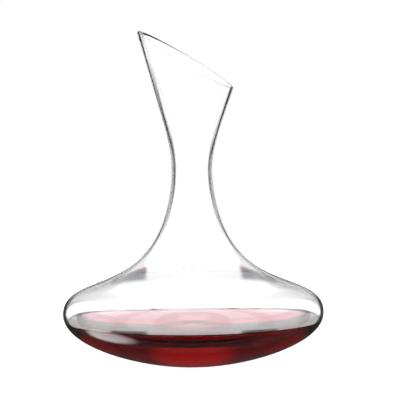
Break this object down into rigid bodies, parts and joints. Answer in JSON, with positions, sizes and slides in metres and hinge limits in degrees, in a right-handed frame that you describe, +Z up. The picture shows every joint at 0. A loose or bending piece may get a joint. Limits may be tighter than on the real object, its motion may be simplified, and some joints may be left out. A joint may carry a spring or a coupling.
{
  "type": "wine decanter",
  "caption": "Blown glass wine decanter with a wide low bowl, slender waisted neck and slanted flared pouring mouth, holding red wine.",
  "frame": {"origin": "centre of the ring the decanter stands on, at table height", "axes": "+Z up along the decanter's axis, -X towards the high side of the slanted mouth, over which the wine is poured"},
  "size_m": [0.222, 0.222, 0.2832],
  "materials": {
    "glass": "clear and fire-polished",
    "red_wine": "clear deep red liquid"
  },
  "bodies": {
    "root": {"glass_vessel": "glass", "wine": "red_wine"}
  },
  "joints": []
}
